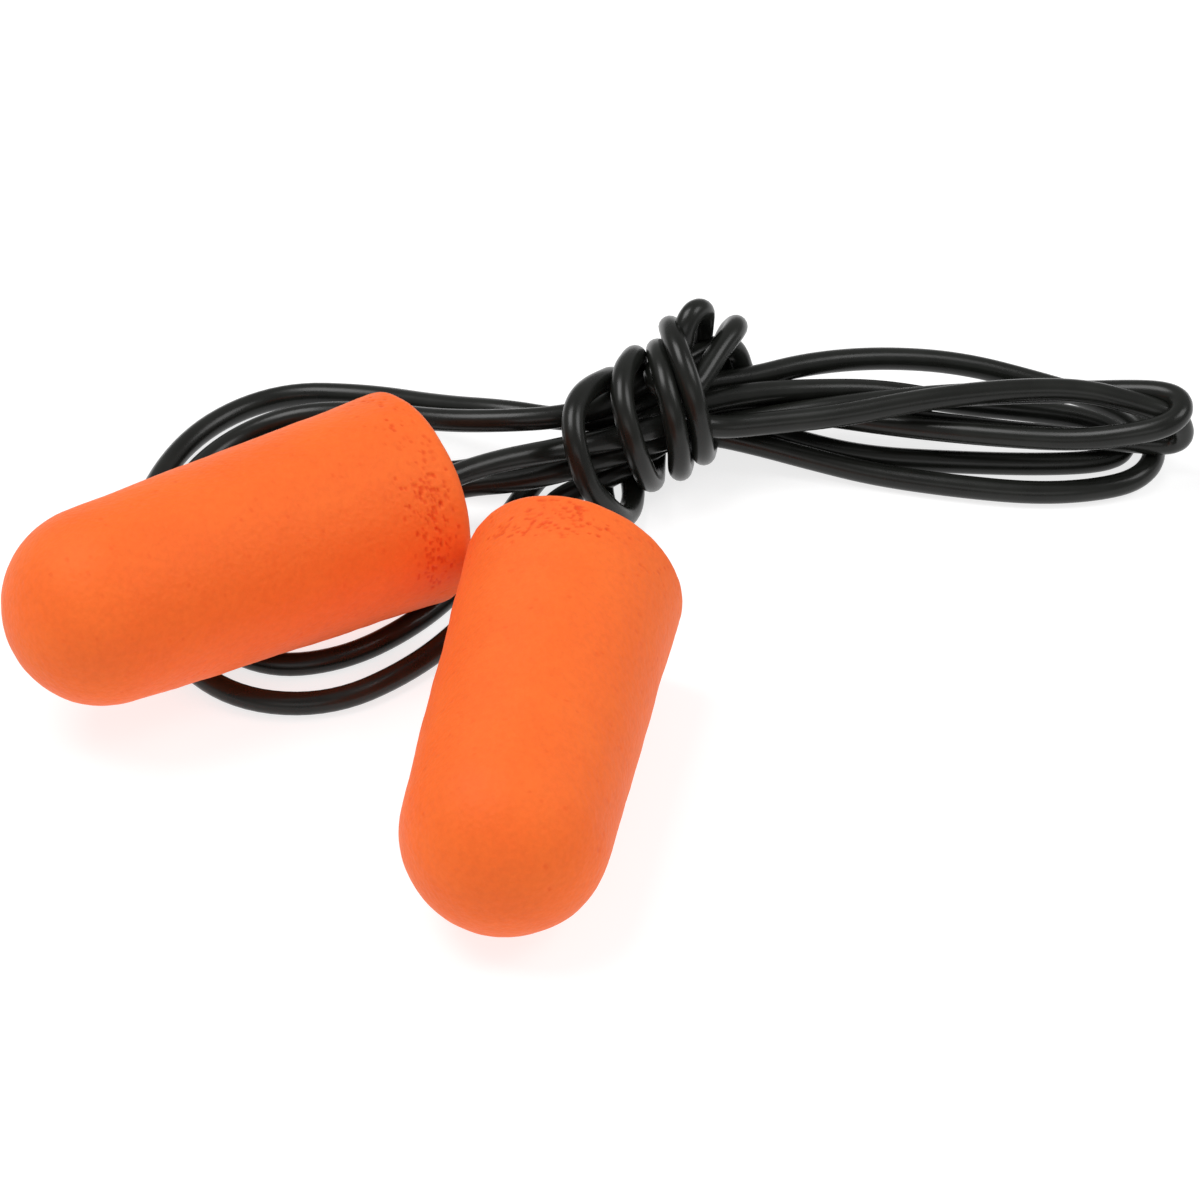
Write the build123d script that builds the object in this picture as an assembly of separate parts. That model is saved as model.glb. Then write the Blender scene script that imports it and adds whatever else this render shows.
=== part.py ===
"""Corded foam ear plugs: two tapered foam plugs on one thin PVC cord, the cord folded
into a hank and wound round its own middle. Millimetres, +Z up. The object lies on the
plane Z = 0 and its origin is under the middle of the two plugs.
"""
import os
from math import acos, asin, cos, degrees, pi, radians, sin, tan

from build123d import *

# Foam plugs
PLUG_LENGTH = 25.0
BASE_RADIUS = 6.0
TIP_RADIUS = 5.35
RIM_FILLET = 0.6
TAPER = asin((BASE_RADIUS - TIP_RADIUS) / (PLUG_LENGTH - TIP_RADIUS))

# Cord and the way it is glued into each plug
CORD_RADIUS = 0.65
GLUE_THICKNESS = 0.15
BORE_RADIUS = CORD_RADIUS + GLUE_THICKNESS
BORE_DEPTH = 9.0
TAIL_START = 0.8
GLUE_LENGTH = 7.5
SWIVEL_RADIUS = 0.72

# Plug placements: middle of the base, heading of the tip, and its pitch
LEFT_PITCH = 5.4
LEFT_BASE = (3.5, 13.4, 5.92)
LEFT_HEADING = 214.0
FRONT_BASE = (12.3, 6.5, BASE_RADIUS * cos(TAPER))
FRONT_HEADING = -100.7

# The wound middle of the hank runs along AXIS, between a left and a right end face
AXIS_HEADING = 19.0
AXIS = Vector(cos(radians(AXIS_HEADING)), sin(radians(AXIS_HEADING)), 0)
BACK = Vector(-AXIS.Y, AXIS.X, 0)
LEFT_FACE = Vector(11.5, 20.1, 4.0)
RIGHT_FACE = Vector(20.2, 23.1, 3.6)
WRAP_LEFT_RADIUS = 4.1
WRAP_RIGHT_RADIUS = 5.0
WRAP_EDGE = 1.0
TUCK = 0.4

# Where the strands cross the two end faces: distance back, distance up
LEFT_ENDS = {
    "outer_top": (2.3, -0.1),
    "middle_top": (1.15, 0.95),
    "lead": (-1.2, 0.65),
    "inner_front": (-1.3, -0.75),
    "inner_back": (0.6, -0.8),
    "middle_low": (0.1, -2.4),
    "outer_low": (-1.7, -2.6),
}
RIGHT_ENDS = {
    "loop_1_top": (2.1, 0.75),
    "loop_2_top": (0.6, 0.75),
    "loop_3_top": (-1.2, 0.15),
    "loop_4_top": (0.0, -0.65),
    "loop_4_low": (1.35, -0.65),
    "loop_2_low": (2.7, -2.0),
    "loop_1_low": (1.1, -2.1),
    "loop_3_low": (2.95, -0.6),
}

# Loops of cord, from one end face round to the same face again
LEFT_LOOPS = {
    "outer": ("outer_top", "outer_low", [
        (8.4, 23.3, 3.6), (4.6, 25.9, 2.5), (0.4, 28.3, 1.3), (-4.8, 28.9, 0.65),
        (-9.8, 26.2, 0.65), (-12.7, 20.6, 0.65), (-12.7, 13.4, 0.65), (-10.6, 6.8, 0.65),
        (-6.6, 2.4, 0.65), (-1.0, 1.6, 0.65), (3.8, 4.5, 0.65), (7.1, 9.0, 0.65),
        (9.3, 13.9, 0.75)]),
    "middle": ("middle_top", "middle_low", [
        (8.2, 22.0, 4.9), (4.6, 23.6, 4.2), (0.7, 25.6, 2.9), (-3.8, 26.9, 1.3),
        (-7.9, 25.2, 0.65), (-10.4, 20.6, 0.65), (-10.5, 14.2, 0.65), (-8.3, 8.1, 0.65),
        (-4.6, 5.0, 0.65), (-0.3, 5.3, 0.65), (3.8, 7.8, 0.65), (7.0, 12.0, 0.65),
        (8.8, 16.2, 0.85)]),
    "inner": ("inner_back", "inner_front", [
        (8.4, 20.5, 2.5), (5.4, 20.5, 1.5), (2.4, 21.7, 0.8), (-0.4, 23.5, 0.65),
        (-3.6, 24.1, 0.65), (-6.2, 22.7, 0.65), (-7.1, 19.9, 0.65), (-5.8, 17.3, 0.65),
        (-3.0, 16.3, 0.65), (0.2, 16.5, 0.65), (3.4, 17.2, 1.1), (6.4, 17.8, 2.1),
        (9.3, 18.3, 2.9)]),
}
RIGHT_LOOPS = {
    "1": ("loop_1_top", "loop_1_low", [
        (22.0, 26.7, 4.6), (25.4, 28.6, 4.3), (29.6, 29.6, 3.5), (34.2, 29.5, 2.3),
        (38.8, 28.8, 1.1), (42.2, 27.5, 0.65), (44.5, 25.5, 0.65), (45.2, 23.0, 0.65),
        (44.0, 20.9, 0.65), (41.4, 19.9, 0.65), (37.8, 19.6, 0.65), (33.4, 19.8, 0.65),
        (29.0, 20.4, 0.65), (25.4, 21.6, 1.0), (22.4, 23.0, 1.4)]),
    "2": ("loop_2_top", "loop_2_low", [
        (22.4, 24.9, 4.4), (25.4, 25.9, 4.1), (29.4, 26.5, 3.3), (34.0, 26.0, 2.1),
        (37.9, 25.4, 1.8), (40.7, 25.0, 1.3), (42.6, 24.8, 0.9), (43.5, 23.9, 0.65),
        (43.5, 22.7, 0.65), (42.6, 21.8, 0.65), (40.7, 21.5, 0.65), (37.6, 21.5, 0.65),
        (33.4, 21.9, 0.65), (28.8, 22.4, 0.65), (25.2, 23.6, 0.9), (22.0, 25.0, 1.4)]),
    "3": ("loop_3_top", "loop_3_low", [
        (23.2, 22.3, 4.1), (27.0, 22.5, 4.6), (31.6, 22.9, 5.1), (36.2, 23.4, 5.2),
        (40.4, 23.5, 5.2), (43.2, 22.6, 4.9), (45.1, 22.1, 4.5), (46.0, 22.3, 3.8),
        (46.0, 22.6, 2.7), (45.1, 22.9, 2.0), (43.2, 23.0, 2.0), (39.9, 22.9, 2.1),
        (34.9, 23.8, 2.0), (29.8, 25.0, 2.0), (25.4, 26.2, 2.4), (21.8, 26.4, 2.9)]),
    "4": ("loop_4_top", "loop_4_low", [
        (22.6, 23.5, 3.1), (26.6, 23.7, 3.3), (31.6, 24.4, 3.6), (36.6, 24.8, 3.8),
        (40.8, 24.7, 4.2), (43.6, 24.0, 5.0), (45.4, 23.5, 5.3), (46.3, 22.6, 5.4),
        (46.3, 21.4, 5.3), (45.4, 20.6, 5.0), (43.4, 20.4, 4.5), (40.2, 20.8, 3.7),
        (35.8, 21.7, 3.3), (30.6, 23.1, 3.2), (25.8, 24.5, 2.9), (22.4, 24.9, 2.9)]),
}

# Leads: from the plug's base to the wound middle
LEFT_LEAD = [LEFT_BASE, (5.3, 14.65, 5.85), (7.6, 16.4, 5.45), (9.8, 17.9, 4.95)]
FRONT_LEAD = [FRONT_BASE, (12.8, 9.1, 6.0), (13.3, 11.7, 5.0), (13.7, 14.0, 3.4),
              (14.6, 17.8, 2.0)]


def left_end(name, beyond):
    """A strand's point beyond the left end face, positive towards the loops."""
    back, up = LEFT_ENDS[name]
    return LEFT_FACE + BACK * back + Vector(0, 0, up) - AXIS * beyond


def right_end(name, beyond):
    """A strand's point beyond the right end face, positive towards the loops."""
    back, up = RIGHT_ENDS[name]
    return RIGHT_FACE + BACK * back + Vector(0, 0, up) + AXIS * beyond


def corner_radii(points):
    """Each arc is as large as its two runs allow, and no larger than needed."""
    radii = []
    for before, here, after in zip(points, points[1:], points[2:]):
        run_in = here - before
        run_out = after - here
        turn = radians(run_in.get_angle(run_out))
        shorter = min(run_in.length, run_out.length)
        radii.append(0.45 * shorter / tan(turn / 2))
    return radii


def cord_tube(name, route):
    """A round tube of cord along straight runs joined by tangent arcs."""
    points = [Vector(point) for point in route]
    radii = corner_radii(points)
    path = FilletPolyline(*points, radius=radii)
    section = Plane(origin=points[0], z_dir=points[1] - points[0]) * Circle(CORD_RADIUS)
    tube = sweep(section, path=path)
    expected = pi * CORD_RADIUS ** 2 * path.length
    print(f"{name}: length {path.length:.1f}, smallest radius {min(radii):.1f}, "
          f"volume {tube.volume:.2f} of {expected:.2f}")
    return tube


def plug_plane(base, heading, pitch):
    """A plane at the base of a plug whose Z runs inside the plug, towards its tip."""
    tip_way = Vector(cos(radians(heading)) * cos(pitch), sin(radians(heading)) * cos(pitch),
                     sin(pitch))
    across = Vector(-sin(radians(heading)), cos(radians(heading)), 0)
    return Plane(origin=base, x_dir=across, z_dir=tip_way)


def foam_plug():
    """Tapered plug, base at the origin and tip at +Z, with the cord's bore and its mouth."""
    tip_centre = PLUG_LENGTH - TIP_RADIUS
    shoulder = (TIP_RADIUS * cos(TAPER), tip_centre + TIP_RADIUS * sin(TAPER))
    middle_angle = (TAPER + pi / 2) / 2
    on_tip = (TIP_RADIUS * cos(middle_angle), tip_centre + TIP_RADIUS * sin(middle_angle))
    with BuildPart() as plug:
        with BuildSketch(Plane.XZ):
            with BuildLine():
                Line((0, 0), (BASE_RADIUS, 0))
                Line((BASE_RADIUS, 0), shoulder)
                ThreePointArc(shoulder, on_tip, (0, PLUG_LENGTH))
                Line((0, PLUG_LENGTH), (0, 0))
            make_face()
        revolve(axis=Axis.Z)
        rim = plug.edges().filter_by(GeomType.CIRCLE).sort_by(Axis.Z)[0]
        fillet(rim, RIM_FILLET)
    mouth_step = SWIVEL_RADIUS * cos(radians(45))
    mouth = Pos(0, 0, mouth_step / 2) * Cone(2 * mouth_step, mouth_step, mouth_step)
    dimple = Sphere(SWIVEL_RADIUS)
    bore = Pos(0, 0, BORE_DEPTH / 2) * Cylinder(BORE_RADIUS, BORE_DEPTH)
    return plug.part - bore - mouth - dimple


def glue_bond():
    """Sleeve of glue between the cord's tail and the foam."""
    middle = TAIL_START + GLUE_LENGTH / 2
    outside = Cylinder(BORE_RADIUS, GLUE_LENGTH)
    inside = Cylinder(CORD_RADIUS, GLUE_LENGTH)
    return Pos(0, 0, middle) * (outside - inside)


def cord_tail():
    """The glued end of the cord, down to the bottom of the bore."""
    length = BORE_DEPTH - TAIL_START
    return Pos(0, 0, TAIL_START + length / 2) * Cylinder(CORD_RADIUS, length)


def wound_middle():
    """Outer shape of the turns wound round the hank, wider at the right end."""
    left = Plane(origin=LEFT_FACE - BACK * 0.2 + Vector(0, 0, 0.1), z_dir=AXIS)
    right = Plane(origin=RIGHT_FACE + BACK * 0.9 + Vector(0, 0, 1.4), z_dir=AXIS)
    sections = Sketch() + [left * Circle(WRAP_LEFT_RADIUS), right * Circle(WRAP_RIGHT_RADIUS)]
    drum = loft(sections.faces(), ruled=True)
    return fillet(drum.edges().filter_by(GeomType.CIRCLE), WRAP_EDGE)


def write(name, shape):
    """One STEP file for one sub-part."""
    shape.label = name
    export_step(shape, os.path.join("parts", name + ".step"))


def main():
    os.makedirs("parts", exist_ok=True)
    placements = {
        "left": plug_plane(LEFT_BASE, LEFT_HEADING, radians(LEFT_PITCH)),
        "front": plug_plane(FRONT_BASE, FRONT_HEADING, -TAPER),
    }
    for side, plane in placements.items():
        write(f"foam_plug_{side}", plane * foam_plug())
        write(f"glue_bond_{side}", plane * glue_bond())
        write(f"cord_tail_{side}", plane * cord_tail())

    leads = {
        "left": LEFT_LEAD + [left_end("lead", -TUCK)],
        "front": FRONT_LEAD,
    }
    for side, route in leads.items():
        tube = cord_tube(f"cord_lead_{side}", route)
        write(f"cord_lead_{side}", tube + Pos(*route[0]) * Sphere(CORD_RADIUS))

    for name, (start, finish, route) in LEFT_LOOPS.items():
        whole = [left_end(start, -TUCK)] + route + [left_end(finish, -TUCK)]
        write(f"cord_left_loop_{name}", cord_tube(f"cord_left_loop_{name}", whole))
    for name, (start, finish, route) in RIGHT_LOOPS.items():
        whole = [right_end(start, -TUCK)] + route + [right_end(finish, -TUCK)]
        write(f"cord_right_loop_{name}", cord_tube(f"cord_right_loop_{name}", whole))
    write("cord_wrap", wound_middle())


main()
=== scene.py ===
"""Corded foam ear plugs: two tapered orange foam plugs on one thin black PVC cord, which is
folded into a hank and wound round its own middle. Metres, in the frame of the CAD model."""
import random
from math import atan2, cos, pi, radians, sin

import bpy
import numpy as np
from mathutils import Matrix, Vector, kdtree, noise


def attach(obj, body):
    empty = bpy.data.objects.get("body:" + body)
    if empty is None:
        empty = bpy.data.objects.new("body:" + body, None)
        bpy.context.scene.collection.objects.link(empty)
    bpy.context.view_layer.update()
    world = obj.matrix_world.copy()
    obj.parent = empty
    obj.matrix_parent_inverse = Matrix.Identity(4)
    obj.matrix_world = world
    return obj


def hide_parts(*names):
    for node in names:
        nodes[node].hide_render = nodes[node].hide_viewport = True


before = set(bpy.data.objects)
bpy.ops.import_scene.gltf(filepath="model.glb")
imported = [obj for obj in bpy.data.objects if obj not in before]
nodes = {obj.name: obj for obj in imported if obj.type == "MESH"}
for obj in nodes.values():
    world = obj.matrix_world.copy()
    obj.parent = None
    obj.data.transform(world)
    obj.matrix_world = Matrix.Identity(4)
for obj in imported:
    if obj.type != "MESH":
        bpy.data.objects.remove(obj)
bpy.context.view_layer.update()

MM = 0.001


# ---------------------------------------------------------------- camera

def look_at(obj, place, target):
    obj.location = place
    obj.rotation_euler = (Vector(target) - Vector(place)).to_track_quat("-Z", "Y").to_euler()


camera = bpy.data.objects.new("camera", bpy.data.cameras.new("camera"))
bpy.context.scene.collection.objects.link(camera)
look_at(camera, (0.0136, -0.227785, 0.207897), (0.0136, 0.0046, 0.006))
camera.data.sensor_width = 36.0
camera.data.lens = 173.1
camera.data.clip_start = 0.01
camera.data.clip_end = 10.0
bpy.context.scene.camera = camera
bpy.context.scene.view_settings.view_transform = "Standard"


# ---------------------------------------------------------------- cord

CORD_RADIUS = 0.65
WOUND_HEADING = radians(19.0)
WOUND_START = (11.5, 20.1, 4.0)


def wound(along, back, up):
    """A point of the wound middle, measured along the hank, towards the back, and up."""
    return (WOUND_START[0] + cos(WOUND_HEADING) * along - sin(WOUND_HEADING) * back,
            WOUND_START[1] + sin(WOUND_HEADING) * along + cos(WOUND_HEADING) * back,
            WOUND_START[2] + up)


def passing(*points):
    return [wound(*p) for p in points]


def turn(middle, steps):
    """One turn round the bundle: under it, up its front, over it and down its back. middle is
    (back, up) of the turn's centre, and steps has one (along, radius) pair for each point."""
    points = []
    for k, (along, radius) in enumerate(steps):
        angle = 2 * pi * k / len(steps)
        points.append(wound(along, middle[0] - radius * sin(angle),
                            middle[1] - radius * cos(angle)))
    return points


# The stretches of the one cord, in millimetres. The leads and the loops are points of the
# scene; those inside and round the wound middle are (along, back, up) for wound(), and
# turn_2, turn_3 and turn_4 are (along, radius) pairs for turn().
left_lead = [
    (3.5, 13.4, 5.92), (5.3, 14.9, 5.95), (7.6, 16.4, 5.7), (9.8, 17.7, 5.25)]
right_loop_1 = [
    (22, 25.8, 4.1), (25.4, 27.2, 4.1), (29.6, 28.55, 3.45), (34.2, 29.25, 2.5),
    (38.8, 28.85, 1.3), (42.3, 27.9, 0.7), (44.5, 25.9, 0.65), (45.05, 23.2, 0.65),
    (43.8, 21, 0.65), (41.2, 20.1, 0.65), (37.8, 19.85, 0.65), (33.4, 20.5, 0.65),
    (29, 21.5, 0.65), (25.4, 22.5, 1), (22.4, 23.3, 1.4)]
right_loop_2 = [
    (22.4, 24.3, 4.3), (25.4, 24.9, 4), (29.4, 25.9, 3.2), (34, 26, 2.1), (37.9, 25.8, 1.8),
    (40.7, 25.8, 1.3), (42.4, 25.4, 0.9), (43.2, 24.6, 0.65), (43.2, 23.7, 0.65),
    (42.4, 22.9, 0.65), (40.7, 22.5, 0.65), (37.6, 22.4, 0.65), (33.4, 22.6, 0.65),
    (28.8, 23, 0.65), (25.2, 23.9, 0.9), (22, 25, 1.4)]
right_loop_3 = [
    (23.2, 22, 4), (27, 22.1, 4.4), (31.6, 22.8, 5), (36.2, 23.4, 5.2), (40.4, 23.5, 5.2),
    (43.4, 22.7, 4.9), (45.4, 22.1, 4.5), (46.1, 22.2, 3.8), (46.3, 22.4, 2.6),
    (45.5, 22.7, 1.85), (43.2, 22.9, 1.95), (39.9, 23, 2.1), (34.9, 23.9, 2), (29.8, 25, 2),
    (25.4, 26.2, 2.4)]
right_loop_4 = [
    (22.6, 23.5, 3.1), (26.6, 23.7, 3.7), (31.6, 24.4, 3.9), (36.6, 24.8, 3.9),
    (40.8, 24.6, 4.1), (43.4, 23.9, 4.75), (45.1, 23.4, 5.05), (46, 22.6, 5.2), (46, 21.4, 5.15),
    (45.1, 20.6, 4.9), (43.3, 20.4, 4.5), (40.2, 20.8, 3.7), (35.8, 21.7, 3.3),
    (30.6, 23.2, 2.75), (25.8, 24.5, 2.6), (22.4, 24.9, 2.8)]
left_loop_outer = [
    (8.4, 23.3, 3.8), (4.6, 25.3, 2.5), (0.4, 27.8, 1.3), (-4.7, 28.8, 0.65), (-9.2, 25.6, 0.65),
    (-11.8, 19.9, 0.65), (-12.1, 13.2, 0.65), (-10.2, 7.3, 0.65), (-6.4, 2.7, 0.65),
    (-1, 2, 0.65), (3.7, 5.2, 0.65), (7, 9.6, 0.65), (9, 13.4, 0.65), (10.2, 16.6, 0.75)]
left_loop_middle = [
    (8.2, 21.3, 4.7), (4.6, 22.3, 3.9), (0.7, 24.4, 2.8), (-3.8, 26, 1.4), (-7.7, 24.2, 0.65),
    (-10.2, 19.9, 0.65), (-10.3, 14.1, 0.65), (-8.2, 8.2, 0.65), (-4.6, 5.2, 0.65),
    (-0.3, 5.8, 0.65), (3.6, 8.8, 0.65), (6.4, 12.7, 0.65), (7.8, 16, 0.65), (9.1, 19, 0.8)]
left_loop_inner = [
    (8.4, 20.5, 2.5), (5.4, 20.5, 1.5), (2.4, 21.7, 0.8), (-0.4, 23.2, 0.65), (-3.6, 23.8, 0.65),
    (-6.2, 22.7, 0.65), (-7.1, 19.9, 0.65), (-5.8, 17.6, 0.65), (-3, 16.6, 0.65), (0.2, 17, 0.8),
    (3.2, 17.8, 1.9), (6, 18, 2.8), (9, 18.2, 2.9)]
front_lead = [
    (13.7, 16.2, 0.8), (13.5, 14, 1.9), (13.2, 11.7, 4.2), (12.8, 9.1, 6), (12.3, 6.5, 5.997)]
turn_4 = [
    (9.05, 3.78), (8.2, 3.75), (7.55, 3.7), (7.35, 3.65), (7.1, 3.7), (6.95, 3.8), (7, 3.9),
    (7.4, 3.9), (8, 3.8), (8.4, 3.7), (8.4, 3.6), (7.9, 3.6)]
turn_3 = [
    (7.45, 3.67), (6.6, 3.6), (6.05, 3.5), (5.9, 3.4), (5.75, 3.4), (5.7, 3.45), (5.95, 3.5),
    (6.4, 3.5), (6.9, 3.45), (7.1, 3.4), (6.85, 3.45), (6.35, 3.5)]
turn_2 = [
    (5.5, 3.62), (4.85, 3.56), (4.05, 3.45), (3.45, 3.45), (3, 3.5), (2.95, 3.6), (3.6, 3.75),
    (5, 3.75), (5.5, 3.55), (5.5, 3.4), (5.2, 3.4), (4.7, 3.4)]
turn_1 = [
    (4.1, 0.8, -3.35), (3.95, -0.6, -3.35), (3.55, -1.9, -3.35), (2.9, -3.1, -3.25),
    (2.1, -4.1, -2.7), (1.4, -4.6, -1.7), (0.7, -4.75, -0.6), (0, -4.6, 0.5), (-0.3, -4.1, 1.7),
    (-0.4, -3.2, 2.9), (-0.05, -2, 3.65), (0.75, -0.8, 3.8), (1.8, 0.2, 3.5), (2.8, 1, 3.05),
    (3.6, 1.9, 2.4), (4, 2.9, 1.2), (4, 3.5, -0.1), (3.8, 3.2, -1.6), (3.3, 2.2, -2.8),
    (2.7, 0.9, -3.3), (2.1, -0.6, -3.35), (1.8, -2.2, -3.35)]
lead_to_loop_3 = [
    (0.4, -1.2, 0.65), (3.2, -1.2, 0.6), (6.3, -0.95, 0.75), (8.8, -1.2, -0.25)]
loop_3_to_middle = [
    (13.2, 2.3, -1.7), (12.2, 2.9, -1.2), (11.9, 3.4, -0.4), (11.7, 3.8, 0.7), (10.9, 3.7, 1.6),
    (8.8, 2.9, 1.7), (7.2, 2.5, 1.7), (5.5, 2.1, 1.5), (3.2, 1.3, 0.95), (0.4, 1.15, 0.95)]
middle_to_loop_1 = [
    (-0.35, 1.5, -2.6), (3, 1.2, -2.2), (6.3, 1, -2.3), (8.8, 1.1, -2.35)]
loop_1_to_outer = [
    (8.8, 2.1, 0.35), (6.3, 1.9, 0.1), (3.2, 1.75, -0.55), (0.4, 2.35, -0.1)]
outer_to_loop_4 = [
    (-0.8, -0.9, -3), (2.7, -0.9, -2.35), (6.3, 0.3, -1.5), (8.8, 1.35, -1.05)]
loop_4_to_inner = [
    (8.8, 0, -1.05), (6.3, -0.6, -0.6), (3.2, -0.9, -0.8), (0.4, -1.3, -0.75)]
inner_to_loop_2 = [
    (0.4, 0.6, -0.8), (3.2, 0.5, -0.8), (6.3, 0.6, 0.1), (8.8, 0.6, 0.35)]
rise_to_turns = [
    (11.4, 2.6, -2.4), (11.1, 4.1, -1.5), (11.1, 4.9, 0), (11.5, 4.6, 1.6), (11.6, 3.6, 2.8),
    (11.1, 2.5, 3.4), (9.8, 1.4, 3.2), (8.7, 0.4, 2.8), (7.7, -0.5, 2.45), (6.6, -0.8, 2.4),
    (5.7, -0.1, 2.55), (5.7, 1, 2.75), (6.4, 1.7, 2.8), (7.2, 1.75, 3), (7.75, 1.85, 3.65),
    (7.9, 2.1, 4.6), (8.6, 2.65, 5.25), (9.45, 3.15, 4.8), (9.6, 3.75, 3.3), (9.75, 4.4, 1.6),
    (9.9, 4.8, -0.2), (9.8, 4.4, -1.7), (9.5, 3.6, -2.7), (9.1, 2.4, -3.05)]

route = (left_lead + passing(*lead_to_loop_3) + right_loop_3 + passing(*loop_3_to_middle)
         + left_loop_middle + passing(*middle_to_loop_1) + right_loop_1[::-1]
         + passing(*loop_1_to_outer) + left_loop_outer + passing(*outer_to_loop_4)
         + right_loop_4[::-1] + passing(*loop_4_to_inner) + left_loop_inner[::-1]
         + passing(*inner_to_loop_2) + right_loop_2 + passing(*rise_to_turns)
         + turn((1.2, 0.8), turn_4) + turn((0.6, 0.35), turn_3) + turn((0.2, 0.3), turn_2)
         + passing(*turn_1) + front_lead)

cord_curve = bpy.data.curves.new("ear_plug_cord", "CURVE")
cord_curve.dimensions = "3D"
line = cord_curve.splines.new("NURBS")
line.points.add(len(route) - 1)
for point, place in zip(line.points, route):
    point.co = (place[0] * MM, place[1] * MM, place[2] * MM, 1.0)
    point.radius = MM
line.order_u = 3
line.use_endpoint_u = True
line.resolution_u = 8
cord_curve.bevel_depth = CORD_RADIUS  # times each point's radius of one millimetre
cord_curve.bevel_resolution = 7
cord_curve.use_fill_caps = True
cord = bpy.data.objects.new("ear_plug_cord", cord_curve)
bpy.context.scene.collection.objects.link(cord)
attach(cord, "hank")
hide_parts(*sorted(n for n in nodes if n.startswith("cord_") and "tail" not in n))


# ---------------------------------------------------------------- materials

class Shader:
    """A small helper round one node material, with object coordinates for its patterns."""

    def __init__(self, name):
        self.material = bpy.data.materials.new(name)
        self.material.use_nodes = True
        self.tree = self.material.node_tree
        self.main = self.tree.nodes["Principled BSDF"]

    def add(self, kind, **values):
        made = self.tree.nodes.new(kind)
        for key, value in values.items():
            if key in made.inputs:
                made.inputs[key].default_value = value
            else:
                setattr(made, key, value)
        return made

    def join(self, source, target, out=0, into=0):
        self.tree.links.new(source.outputs[out], target.inputs[into])

    def place(self):
        coords = self.add("ShaderNodeTexCoord")
        mapping = self.add("ShaderNodeMapping")
        self.join(coords, mapping, "Object", "Vector")
        return mapping

    def noise(self, mapping, scale, detail, roughness):
        made = self.add("ShaderNodeTexNoise", Scale=scale, Detail=detail, Roughness=roughness)
        self.join(mapping, made, "Vector", "Vector")
        return made

    def ramp(self, source, out, *stops):
        made = self.add("ShaderNodeValToRGB")
        elements = made.color_ramp.elements
        while len(elements) < len(stops):
            elements.new(0.5)
        for element, (position, colour) in zip(elements, stops):
            element.position = position
            element.color = (*colour, 1.0)
        self.join(source, made, out, "Fac")
        return made


MIX_A, MIX_B, MIX_RESULT = 6, 7, 2  # the colour sockets of a Mix node, which share names


def set_material(obj, material):
    obj.data.materials.clear()
    obj.data.materials.append(material)


def foam_material():
    s = Shader("plug_foam")
    at = s.place()
    wide = s.noise(at, 260.0, 3.0, 0.55)
    fine = s.noise(at, 2600.0, 3.0, 0.6)
    cells = s.add("ShaderNodeTexVoronoi", Scale=3600.0)
    s.join(at, cells, "Vector", "Vector")
    tone = s.ramp(wide, "Fac", (0.32, (0.910, 0.144, 0.0195)), (0.52, (0.925, 0.153, 0.021)),
                  (0.72, (0.938, 0.162, 0.0228)))
    grain = s.ramp(fine, "Fac", (0.30, (0.90, 0.86, 0.84)), (0.60, (1.0, 1.0, 1.0)))
    both = s.add("ShaderNodeMix", data_type="RGBA", blend_type="MULTIPLY")
    both.inputs["Factor"].default_value = 0.55
    s.join(tone, both, "Color", MIX_A)
    s.join(grain, both, "Color", MIX_B)
    # painted shade in the pores: a per-point attribute darkens the base colour inside each
    # pore's dent
    pore_shade = s.add("ShaderNodeAttribute", attribute_name="pore_shade")
    pore_shaded = s.add("ShaderNodeMix", data_type="RGBA", blend_type="MIX")
    pore_shaded.inputs[MIX_B].default_value = (0.76, 0.064, 0.004, 1.0)
    s.join(both, pore_shaded, MIX_RESULT, MIX_A)
    s.join(pore_shade, pore_shaded, "Fac", "Factor")
    s.join(pore_shaded, s.main, MIX_RESULT, "Base Color")
    rough = s.add("ShaderNodeMapRange")
    rough.inputs["To Min"].default_value = 0.52
    rough.inputs["To Max"].default_value = 0.70
    s.join(wide, rough, "Fac", "Value")
    s.join(rough, s.main, "Result", "Roughness")
    cell_bump = s.add("ShaderNodeBump", Strength=0.22, Distance=0.00012)
    s.join(cells, cell_bump, "Distance", "Height")
    fine_bump = s.add("ShaderNodeBump", Strength=0.25, Distance=0.00010)
    s.join(fine, fine_bump, "Fac", "Height")
    s.join(cell_bump, fine_bump, "Normal", "Normal")
    s.join(fine_bump, s.main, "Normal", "Normal")
    s.main.inputs["Specular IOR Level"].default_value = 0.20
    s.main.inputs["Sheen Weight"].default_value = 0.04
    s.main.inputs["Sheen Roughness"].default_value = 0.5
    s.main.inputs["Subsurface Weight"].default_value = 0.10
    s.main.inputs["Subsurface Radius"].default_value = (1.0, 0.25, 0.08)
    s.main.inputs["Subsurface Scale"].default_value = 0.0009
    return s.material


def cord_material():
    s = Shader("cord_pvc")
    at = s.place()
    cloud = s.noise(at, 420.0, 3.0, 0.55)
    fine = s.noise(at, 3800.0, 2.0, 0.5)
    tone = s.ramp(cloud, "Fac", (0.35, (0.0070, 0.0076, 0.0064)),
                  (0.70, (0.0115, 0.0125, 0.0106)))
    s.join(tone, s.main, "Color", "Base Color")
    rough = s.add("ShaderNodeMapRange")
    rough.inputs["To Min"].default_value = 0.22
    rough.inputs["To Max"].default_value = 0.34
    s.join(cloud, rough, "Fac", "Value")
    s.join(rough, s.main, "Result", "Roughness")
    wave = s.add("ShaderNodeBump", Strength=0.10, Distance=0.00006)
    s.join(cloud, wave, "Fac", "Height")
    grit = s.add("ShaderNodeBump", Strength=0.06, Distance=0.00003)
    s.join(fine, grit, "Fac", "Height")
    s.join(wave, grit, "Normal", "Normal")
    s.join(grit, s.main, "Normal", "Normal")
    s.main.inputs["IOR"].default_value = 1.37
    return s.material


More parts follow.
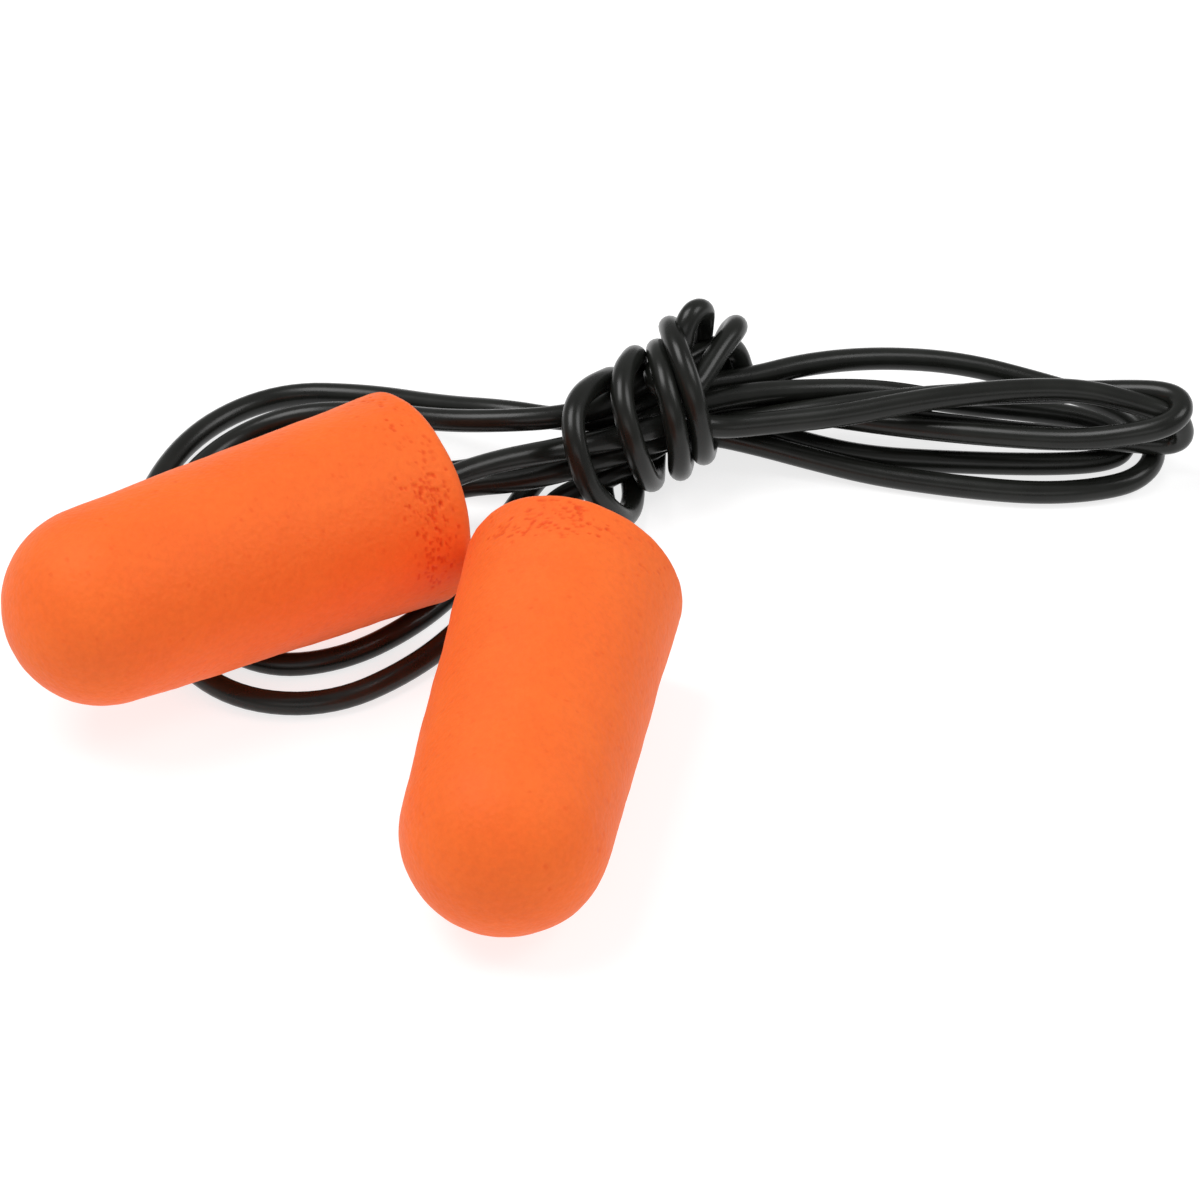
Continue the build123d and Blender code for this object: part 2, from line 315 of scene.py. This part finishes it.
def glue_material():
    s = Shader("glue")
    at = s.place()
    cloud = s.noise(at, 900.0, 3.0, 0.6)
    tone = s.ramp(cloud, "Fac", (0.35, (0.70, 0.60, 0.38)), (0.70, (0.84, 0.77, 0.58)))
    s.join(tone, s.main, "Color", "Base Color")
    bump = s.add("ShaderNodeBump", Strength=0.3, Distance=0.0001)
    s.join(cloud, bump, "Fac", "Height")
    s.join(bump, s.main, "Normal", "Normal")
    s.main.inputs["Roughness"].default_value = 0.4
    return s.material


FOAM = foam_material()
CORD = cord_material()
GLUE = glue_material()
set_material(cord, CORD)
for name in ("cord_tail_left", "cord_tail_front"):
    set_material(nodes[name], CORD)
for name in ("glue_bond_left", "glue_bond_front"):
    set_material(nodes[name], GLUE)


# ---------------------------------------------------------------- foam plugs

PLUG_LENGTH = 25.0
BASE_RADIUS = 6.0
TIP_RADIUS = 5.35
RIM_RADIUS = 0.6
BORE_RADIUS = 0.8
BORE_DEPTH = 9.0
BORE_FLARE = 0.18     # the bore's mouth is this much wider, over its first quarter millimetre
FLARE_DEPTH = 0.25
RIM_STEPS = 8
TIP_STEPS = 40
AROUND = 360          # points in each ring of the mesh
SPACING = 0.09        # between rings on the outside
BORE_SPACING = 1.0    # between rings in the bore, where nothing shows,
BORE_MOUTH = 0.6      # but for this last stretch of it

SKIN_WAVES = ((0.060, 0.30), (0.020, 0.95), (0.008, 3.2))  # height in mm, noise cells per mm
FINE_PORES = 260      # all over the skin
BASE_PORES = 160      # thinning out from the base
PORE_STRETCH = 0.8    # a pore is this part of its radius longer round the plug
# the most painted shade that a pore's dent gets
DARKEST_PORE_SHADE = 0.85
RIM_REACH = 6.0       # a pushed rim fades out over this distance from the base
WIDEN_FROM = 6.0      # the sides start to widen at this distance from the base,
WIDEN_OVER = 10.0     # and are at their full measure this much further on


def plug_profile():
    """(distance from the base, radius) pairs, from the middle of the bore's end, out of the
    bore, over the base and its rounded rim, along the tapered side and round the tip."""
    slope = (BASE_RADIUS - TIP_RADIUS) / (PLUG_LENGTH - TIP_RADIUS)
    outline = [(BORE_DEPTH, 0.0), (BORE_DEPTH, BORE_RADIUS), (FLARE_DEPTH, BORE_RADIUS),
               (0.04, BORE_RADIUS + BORE_FLARE), (0.0, BASE_RADIUS - RIM_RADIUS)]
    for k in range(1, RIM_STEPS + 1):
        a = pi / 2 * k / RIM_STEPS
        outline.append((RIM_RADIUS - RIM_RADIUS * cos(a),
                        BASE_RADIUS - RIM_RADIUS + RIM_RADIUS * sin(a)))
    middle = PLUG_LENGTH - TIP_RADIUS
    outline.append((middle + TIP_RADIUS * slope, TIP_RADIUS * (1 - slope * slope) ** 0.5))
    for k in range(1, TIP_STEPS + 1):
        a = pi / 2 * k / TIP_STEPS
        outline.append((middle + TIP_RADIUS * sin(a), TIP_RADIUS * cos(a)))
    outline[-1] = (PLUG_LENGTH, 0.0)
    line = np.array(outline)
    steps = np.linalg.norm(np.diff(line, axis=0), axis=1)
    travelled = np.concatenate([[0.0], np.cumsum(steps)])
    wanted = [0.0, BORE_RADIUS]
    at = BORE_RADIUS
    while at < travelled[-1] - SPACING * 0.7:
        in_bore = at < BORE_RADIUS + BORE_DEPTH - BORE_MOUTH
        at += BORE_SPACING if in_bore else SPACING
        wanted.append(min(at, travelled[-1]))
    wanted[-1] = travelled[-1]
    return np.array([[np.interp(w, travelled, line[:, 0]), np.interp(w, travelled, line[:, 1])]
                     for w in wanted])


def build_plug(name, base, tip_direction, node, body, seed, clusters, cut, widen):
    """clusters: crowds of open pores, as (distance from the base, spread, direction that they
    face, angular spread, count). cut: a direction, and how far the rim on that side is pushed
    back. widen: how much wider the tip end is sideways."""
    rng = random.Random(seed)
    axis = Vector(tip_direction).normalized()
    turned = axis.to_track_quat("Z", "Y").to_matrix()
    profile = plug_profile()
    rows = profile[1:-1]
    verts = [Vector((0.0, 0.0, profile[0][0]))]
    for z, r in rows:
        for k in range(AROUND):
            a = 2 * pi * k / AROUND
            verts.append(Vector((r * cos(a), r * sin(a), z)))
    verts.append(Vector((0.0, 0.0, profile[-1][0])))
    last = len(verts) - 1
    faces = []
    for k in range(AROUND):
        n = (k + 1) % AROUND
        faces.append((0, 1 + n, 1 + k))
        for i in range(len(rows) - 1):
            a = 1 + i * AROUND
            faces.append((a + k, a + n, a + AROUND + n, a + AROUND + k))
        a = 1 + (len(rows) - 1) * AROUND
        faces.append((a + k, a + n, last))
    mesh = bpy.data.meshes.new(name)
    mesh.from_pydata(verts, [], faces)
    mesh.update()
    normals = [v.normal.copy() for v in mesh.vertices]

    # soft uneven skin, then open pores, which crowd together near the base; each pore's dent
    # also gets painted shade, darkest at its middle
    shift = Vector((seed * 3.7, seed * 1.3, seed * 5.1))
    lift = [0.0] * len(verts)
    pore_shade = [0.0] * len(verts)
    for i, v in enumerate(verts):
        radius = (v.x * v.x + v.y * v.y) ** 0.5
        if radius < BORE_RADIUS + 0.3 and v.z < BORE_DEPTH + 0.5:
            continue
        lift[i] = sum(height * noise.noise(v * cells + shift) for height, cells in SKIN_WAVES)
    tree = kdtree.KDTree(len(verts))
    for i, v in enumerate(verts):
        tree.insert(v, i)
    tree.balance()
    pores = []  # (distance from the base, angle, radius, depth, darkness of its painted shade)
    for _ in range(FINE_PORES):
        pores.append((rng.uniform(0.9, 24.0), rng.uniform(0, 2 * pi), rng.uniform(0.08, 0.14),
                      rng.uniform(0.01, 0.03), rng.uniform(0.05, 0.35)))
    for _ in range(BASE_PORES):
        pores.append((0.8 + abs(rng.gauss(0, 1)) * 1.5, rng.uniform(0, 2 * pi),
                      rng.uniform(0.06, 0.12), rng.uniform(0.02, 0.05), rng.uniform(0.15, 0.5)))
    for far, spread, facing, width, count in clusters:
        local = turned.transposed() @ Vector(facing)
        heading = atan2(local.y, local.x)
        for _ in range(count):
            pores.append((max(0.7, rng.gauss(far, spread)), rng.gauss(heading, width),
                          rng.uniform(0.06, 0.13), rng.uniform(0.03, 0.08),
                          rng.uniform(0.4, 1.0)))
    flank = profile[np.argmax(profile[:, 1]):]
    for z, a, size, depth, dark in pores:
        r = float(np.interp(z, flank[:, 0], flank[:, 1]))
        for part in range(2):  # a pore is a little longer round the plug than along it
            b = a + part * size * PORE_STRETCH / r
            spot = Vector((r * cos(b), r * sin(b), z))
            for _, i, distance in tree.find_range(spot, size):
                # the dent, and the painted shade in it, both strongest at the pore's middle
                bowl = 1 - (distance / size) ** 2
                lift[i] -= depth * bowl * 0.7
                pore_shade[i] = max(pore_shade[i], dark * min(1.0, bowl * 1.4))

    side, push = cut
    local = turned.transposed() @ Vector(side)
    side = Vector((local.x, local.y)).normalized()
    level = turned.transposed() @ Vector((axis.y, -axis.x, 0)).normalized()
    for i, v in enumerate(verts):
        p = v + normals[i] * lift[i]
        near = max(0.0, 1 - v.z / RIM_REACH)
        p.z -= push * (v.x * side.x + v.y * side.y) / BASE_RADIUS * near * near
        far = min(1.0, max(0.0, (v.z - WIDEN_FROM) / WIDEN_OVER))
        p += level * (widen * far * (v @ level) / TIP_RADIUS)
        mesh.vertices[i].co = (turned @ p + Vector(base)) * MM
    # the painted shade in the pores, kept for the foam material
    pore_shade_layer = mesh.attributes.new("pore_shade", "FLOAT", "POINT")
    pore_shade_layer.data.foreach_set("value", [min(DARKEST_PORE_SHADE, x) for x in pore_shade])
    mesh.update()
    for polygon in mesh.polygons:
        polygon.use_smooth = True
    plug = bpy.data.objects.new(name, mesh)
    bpy.context.scene.collection.objects.link(plug)
    set_material(plug, FOAM)
    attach(plug, body)
    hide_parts(node)


build_plug("plug_left_foam", (3.5, 13.4, 5.92), (-0.8250, -0.5590, 0.0830),
           "foam_plug_left", "plug_left", 3,
           [(2.2, 0.7, (0.1, -0.80, 0.60), 0.16, 80), (2.4, 0.6, (0.4, -0.85, 0.15), 0.20, 60),
            (1.6, 0.5, (-0.5, -0.2, 0.9), 0.30, 20)],
           ((0.0, 0.0, 1.0), 0.0), 0.05)
build_plug("plug_front_foam", (12.3, 6.5, 5.997), (-0.1800, -0.9831, -0.0331),
           "foam_plug_front", "plug_front", 8,
           [(1.6, 0.5, (0.1, 0.0, 1.0), 0.10, 40), (2.6, 0.35, (-0.35, 0.0, 0.9), 0.25, 60),
            (1.4, 0.5, (-0.2, 0.0, 0.95), 0.20, 24)],
           ((-1.0, 0.2, 0.0), 0.70), 0.12)


# ---------------------------------------------------------------- floor and lights

def floor_material():
    s = Shader("floor")
    at = s.place()
    cloud = s.noise(at, 3.0, 2.0, 0.5)
    tone = s.ramp(cloud, "Fac", (0.3, (0.34, 0.34, 0.34)), (0.7, (0.36, 0.36, 0.36)))
    s.join(tone, s.main, "Color", "Base Color")
    s.main.inputs["Roughness"].default_value = 0.9
    s.main.inputs["Specular IOR Level"].default_value = 0.1
    s.main.inputs["Emission Color"].default_value = (1, 1, 1, 1)
    s.main.inputs["Emission Strength"].default_value = 0.76
    return s.material


FLOOR_HALF = 3.0
FLOOR_GAP = 0.00002  # below the lowest point of the part, so that the two don't share a plane
floor_mesh = bpy.data.meshes.new("floor")
floor_mesh.from_pydata([(x * FLOOR_HALF, y * FLOOR_HALF, 0)
                        for x, y in ((-1, -1), (1, -1), (1, 1), (-1, 1))],
                       [], [(0, 1, 2, 3)])
floor = bpy.data.objects.new("floor", floor_mesh)
floor.location = (0.0, 0.0, -FLOOR_GAP)
bpy.context.scene.collection.objects.link(floor)
set_material(floor, floor_material())


def softbox(name, place, target, width, height, power):
    data = bpy.data.lights.new(name, "AREA")
    data.shape = "RECTANGLE"
    data.size = width
    data.size_y = height
    data.energy = power
    light = bpy.data.objects.new(name, data)
    bpy.context.scene.collection.objects.link(light)
    look_at(light, place, target)


CENTRE = (0.0136, 0.006, 0.005)
softbox("key", (-0.25, 0.05, 0.55), CENTRE, 0.34, 0.34, 2.35)
softbox("side", (0.42, 0.02, 0.45), CENTRE, 0.26, 0.30, 1.1)
softbox("front", (0.0, -0.60, 0.35), CENTRE, 0.5, 0.25, 0.4)

world = bpy.data.worlds.new("studio")
world.use_nodes = True
world.node_tree.nodes["Background"].inputs["Color"].default_value = (1, 1, 1, 1)
world.node_tree.nodes["Background"].inputs["Strength"].default_value = 0.38
bpy.context.scene.world = world

bpy.context.view_layer.update()
